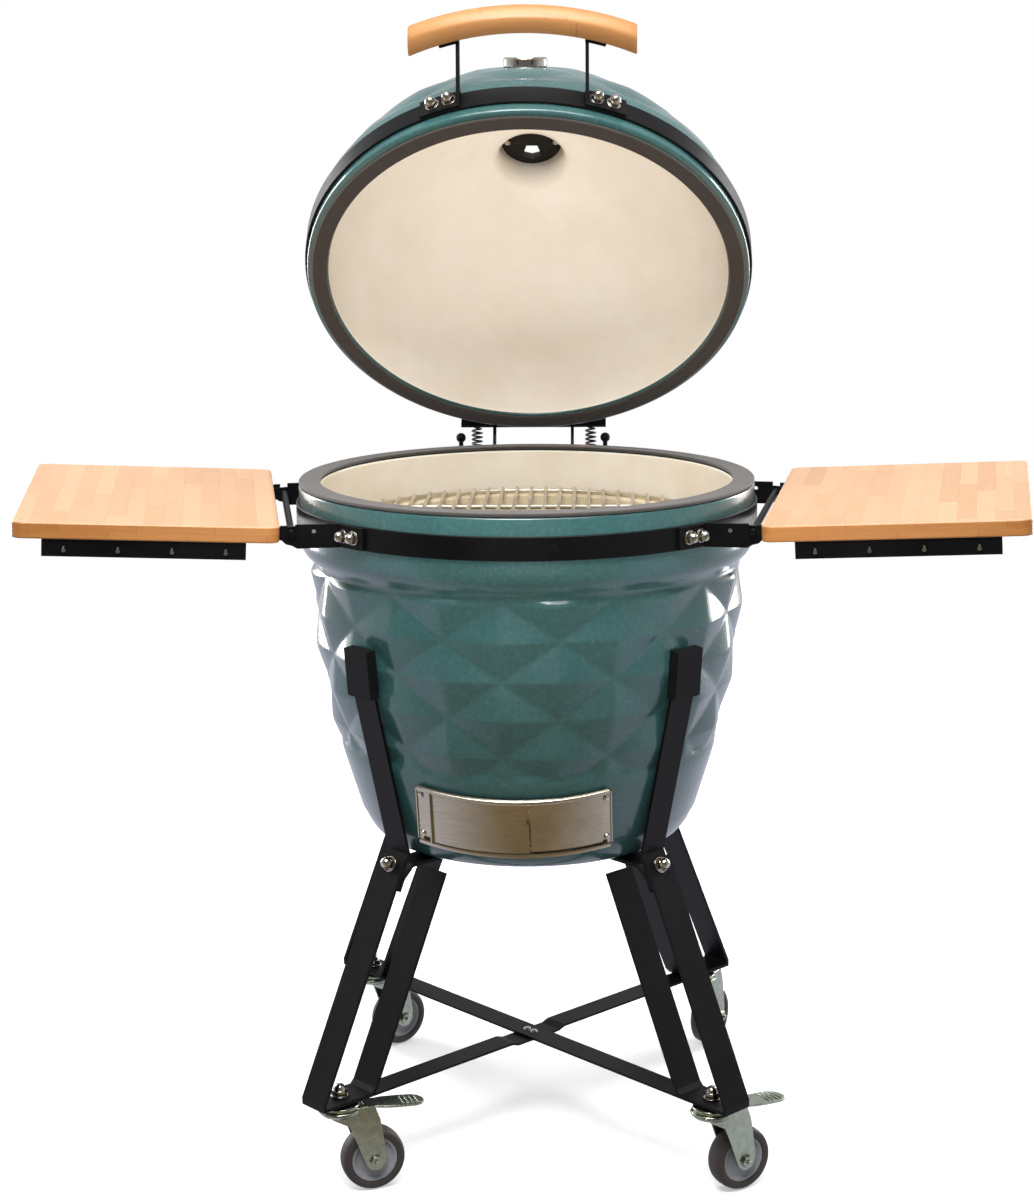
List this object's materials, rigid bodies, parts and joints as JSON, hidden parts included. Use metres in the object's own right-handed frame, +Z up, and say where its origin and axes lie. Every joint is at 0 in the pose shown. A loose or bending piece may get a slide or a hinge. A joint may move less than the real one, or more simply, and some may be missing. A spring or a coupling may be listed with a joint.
{
  "type": "kamado charcoal grill",
  "caption": "Kamado charcoal grill: glazed ceramic bowl and hinged lid in steel bands, on a strap-steel caster cart with folding bamboo side shelves.",
  "frame": {"origin": "On the floor under the middle of the whole outline, shelves and open lid included; the bowl's axis stands 36.2 mm in front of it.", "axes": "+Z up, front of the grill with the draft vent and lid handle towards -Y, +X to the right of someone facing the grill."},
  "size_m": [1.2234, 0.6756, 1.3549],
  "materials": {
    "glaze": "blue-green glaze, glossy, with fine mottling",
    "firebrick": "bare cream ceramic, matt",
    "felt": "dark woven felt",
    "black_steel": "black powder coat, satin",
    "stainless": "brushed stainless steel",
    "iron": "black cast iron, matt",
    "bamboo": "oiled bamboo strips",
    "spring_steel": "dark spring wire",
    "zinc": "zinc plated steel",
    "chrome_trim": "polished bezel",
    "pad_rubber": "black rubber",
    "tyre_rubber": "grey-brown soft tread",
    "hub_plastic": "grey moulded hub"
  },
  "bodies": {
    "grill": {"bowl": "glaze", "bowl_gasket": "felt", "fire_box": "firebrick", "fire_ring": "firebrick", "charcoal_grate": "iron", "vent_frame": "stainless", "bowl_band": "black_steel", "hinge_lower": "black_steel", "hinge_spring_left": "spring_steel", "hinge_spring_right": "spring_steel", "crossbar_upper": "black_steel", "crossbar_lower": "black_steel", "base_ring": "black_steel", "leg_front_left": "black_steel", "leg_front_right": "black_steel", "leg_rear_right": "black_steel", "leg_rear_left": "black_steel", "upright_front_left": "black_steel", "upright_front_right": "black_steel", "upright_rear_right": "black_steel", "upright_rear_left": "black_steel", "pad_front_left": "pad_rubber", "pad_front_right": "pad_rubber", "pad_rear_right": "pad_rubber", "pad_rear_left": "pad_rubber", "shelf_bracket_left_front": "black_steel", "shelf_bracket_left_rear": "black_steel", "shelf_bracket_right_front": "black_steel", "shelf_bracket_right_rear": "black_steel"},
    "lid": {"lid": "glaze", "lid_gasket": "felt", "lid_band": "black_steel", "hinge_upper": "black_steel", "handle_post_left": "black_steel", "handle_post_right": "black_steel", "handle_grip": "bamboo", "thermometer": "chrome_trim", "vent_base": "iron"},
    "vent_disc": {"vent_disc": "iron"},
    "draft_door": {"draft_door": "stainless"},
    "draft_screen": {"draft_screen": "stainless"},
    "cooking_grid": {"cooking_grid": "stainless"},
    "shelf_left": {"shelf_board_left": "bamboo", "shelf_rail_left": "black_steel"},
    "shelf_right": {"shelf_board_right": "bamboo", "shelf_rail_right": "black_steel"},
    "caster_front_left": {"caster_fork_front_left": "zinc"},
    "wheel_front_left": {"caster_hub_front_left": "hub_plastic", "caster_tyre_front_left": "tyre_rubber"},
    "brake_front_left": {"brake_pedal_front_left": "zinc"},
    "caster_front_right": {"caster_fork_front_right": "zinc"},
    "wheel_front_right": {"caster_hub_front_right": "hub_plastic", "caster_tyre_front_right": "tyre_rubber"},
    "brake_front_right": {"brake_pedal_front_right": "zinc"},
    "caster_rear_right": {"caster_fork_rear_right": "zinc"},
    "wheel_rear_right": {"caster_hub_rear_right": "hub_plastic", "caster_tyre_rear_right": "tyre_rubber"},
    "caster_rear_left": {"caster_fork_rear_left": "zinc"},
    "wheel_rear_left": {"caster_hub_rear_left": "hub_plastic", "caster_tyre_rear_left": "tyre_rubber"}
  },
  "joints": [
    {"name": "lid_hinge", "type": "hinge", "parent": "grill", "child": "lid", "pos_m": [0, 0.2602, 0.7904], "axis": [-1, 0, 0], "range_deg": [-49.5, 0], "deforming": ["hinge_spring_left", "hinge_spring_right"]},
    {"name": "vent_disc_turn", "type": "hinge", "parent": "lid", "child": "vent_disc", "pos_m": [0, 0.28712, 1.20318], "axis": [0, 0.7604, 0.6494], "range_deg": [-60, 60]},
    {"name": "draft_door_slide", "type": "hinge", "parent": "grill", "child": "draft_door", "pos_m": [0, -0.0362, 0.50465], "axis": [-0.0174, -0.293, 0.956], "range_deg": [0, 21]},
    {"name": "draft_screen_slide", "type": "hinge", "parent": "grill", "child": "draft_screen", "pos_m": [0, -0.0362, 0.50465], "axis": [-0.0174, -0.293, 0.956], "range_deg": [-29, 0]},
    {"name": "cooking_grid_lift", "type": "slide", "parent": "grill", "child": "cooking_grid", "axis": [0, 0, 1], "range_m": [0, 0.12]},
    {"name": "shelf_fold_left", "type": "hinge", "parent": "grill", "child": "shelf_left", "pos_m": [-0.2805, -0.08063, 0.774], "axis": [0.1564, -0.9877, 0], "range_deg": [0, 90]},
    {"name": "shelf_fold_right", "type": "hinge", "parent": "grill", "child": "shelf_right", "pos_m": [0.2805, -0.08063, 0.774], "axis": [0.1564, 0.9877, 0], "range_deg": [0, 90]},
    {"name": "caster_swivel_front_left", "type": "hinge", "parent": "grill", "child": "caster_front_left", "pos_m": [-0.21496, -0.25116, 0.11], "axis": [0, 0, 1], "continuous": true},
    {"name": "wheel_spin_front_left", "type": "hinge", "parent": "caster_front_left", "child": "wheel_front_left", "pos_m": [-0.17948, -0.23754, 0.0375], "axis": [-0.3584, 0.9336, 0], "continuous": true},
    {"name": "brake_pedal_press_front_left", "type": "hinge", "parent": "caster_front_left", "child": "brake_front_left", "pos_m": [-0.18695, -0.24041, 0.1007], "axis": [-0.3584, 0.9336, 0], "range_deg": [0, 8]},
    {"name": "caster_swivel_front_right", "type": "hinge", "parent": "grill", "child": "caster_front_right", "pos_m": [0.21496, -0.25116, 0.11], "axis": [0, 0, 1], "continuous": true},
    {"name": "wheel_spin_front_right", "type": "hinge", "parent": "caster_front_right", "child": "wheel_front_right", "pos_m": [0.24683, -0.23046, 0.0375], "axis": [-0.5446, 0.8387, 0], "continuous": true},
    {"name": "brake_pedal_press_front_right", "type": "hinge", "parent": "caster_front_right", "child": "brake_front_right", "pos_m": [0.24012, -0.23482, 0.1007], "axis": [-0.5446, 0.8387, 0], "range_deg": [0, 8]},
    {"name": "caster_swivel_rear_right", "type": "hinge", "parent": "grill", "child": "caster_rear_right", "pos_m": [0.21496, 0.17876, 0.11], "axis": [0, 0, 1], "continuous": true},
    {"name": "wheel_spin_rear_right", "type": "hinge", "parent": "caster_rear_right", "child": "wheel_rear_right", "pos_m": [0.2328, 0.21231, 0.0375], "axis": [-0.8829, 0.4695, 0], "continuous": true},
    {"name": "caster_swivel_rear_left", "type": "hinge", "parent": "grill", "child": "caster_rear_left", "pos_m": [-0.21496, 0.17876, 0.11], "axis": [0, 0, 1], "continuous": true},
    {"name": "wheel_spin_rear_left", "type": "hinge", "parent": "caster_rear_left", "child": "wheel_rear_left", "pos_m": [-0.18585, 0.20319, 0.0375], "axis": [-0.6428, 0.766, 0], "continuous": true}
  ]
}
